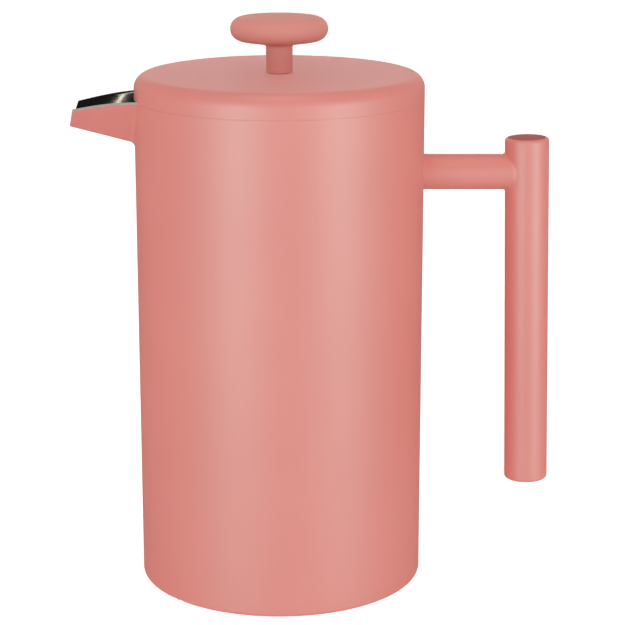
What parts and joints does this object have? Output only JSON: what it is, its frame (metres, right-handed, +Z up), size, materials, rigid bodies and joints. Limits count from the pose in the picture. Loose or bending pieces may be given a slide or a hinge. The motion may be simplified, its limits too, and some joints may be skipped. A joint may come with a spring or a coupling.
{
  "type": "french press",
  "caption": "Double-walled steel coffee press with a pouring spout, a tube handle, a lift-off lid and a sprung mesh plunger.",
  "frame": {"origin": "middle of the flat base, on the surface the press stands on", "axes": "+Z up along the pot's axis, +X towards the handle, -X towards the spout"},
  "size_m": [0.1819, 0.108, 0.2156],
  "materials": {
    "coated_steel": "satin powder coat, coral",
    "coated_steel_dark": "satin powder coat, darker coral end discs",
    "brushed_steel": "spun and brushed stainless steel",
    "turned_steel": "turned and polished stainless steel",
    "pressed_steel": "pressed stainless sheet, bright",
    "spring_steel": "drawn spring wire, bright",
    "woven_steel": "woven stainless wire cloth",
    "brass": "turned brass"
  },
  "bodies": {
    "pot": {"outer_wall": "coated_steel", "base_disc": "brushed_steel", "inner_liner": "brushed_steel", "spout": "coated_steel", "handle_arm": "coated_steel", "handle_grip": "coated_steel", "grip_cap_top": "coated_steel_dark", "grip_cap_bottom": "coated_steel_dark"},
    "lid_bush": {"rod_bush": "turned_steel", "bush_washer": "turned_steel", "bush_nut": "turned_steel"},
    "lid": {"lid_shell": "coated_steel", "lid_pan": "brushed_steel", "strainer_skirt": "brushed_steel"},
    "spring_ring": {"edge_spring": "spring_steel"},
    "plunger": {"plunger_rod": "turned_steel", "rod_collar": "turned_steel", "spring_disc": "pressed_steel"},
    "knob_core": {"knob_insert": "brass"},
    "knob": {"knob": "coated_steel"},
    "screen": {"mesh_screen": "woven_steel"},
    "hub": {"cross_plate": "pressed_steel", "hub_nut": "turned_steel"}
  },
  "joints": [
    {"name": "lid_lift", "type": "slide", "parent": "pot", "child": "lid_bush", "axis": [0, 0, 1], "range_m": [0, 0.2]},
    {"name": "lid_turn", "type": "hinge", "parent": "lid_bush", "child": "lid", "pos_m": [0, 0, 0], "axis": [0, 0, 1], "continuous": true},
    {"name": "plunger_press", "type": "slide", "parent": "lid_bush", "child": "spring_ring", "axis": [0, 0, 1], "range_m": [0, 0.14]},
    {"name": "plunger_turn", "type": "hinge", "parent": "spring_ring", "child": "plunger", "pos_m": [0, 0, 0], "axis": [0, 0, 1], "continuous": true},
    {"name": "knob_rise", "type": "slide", "parent": "plunger", "child": "knob_core", "axis": [0, 0, 1], "range_m": [0, 0.0064]},
    {"name": "knob_unscrew", "type": "hinge", "parent": "knob_core", "child": "knob", "pos_m": [0, 0, 0], "axis": [0, 0, 1], "range_deg": [0, 2880]},
    {"name": "screen_drop", "type": "slide", "parent": "plunger", "child": "screen", "axis": [0, 0, 1], "range_m": [-0.0064, 0]},
    {"name": "hub_unscrew", "type": "hinge", "parent": "screen", "child": "hub", "pos_m": [0, 0, 0], "axis": [0, 0, 1], "range_deg": [-2880, 0]}
  ],
  "couplings": [
    {"joint": "knob_rise", "follows": "knob_unscrew", "m_per_rad": 0.00012732},
    {"joint": "screen_drop", "follows": "hub_unscrew", "m_per_rad": 0.00012732}
  ]
}
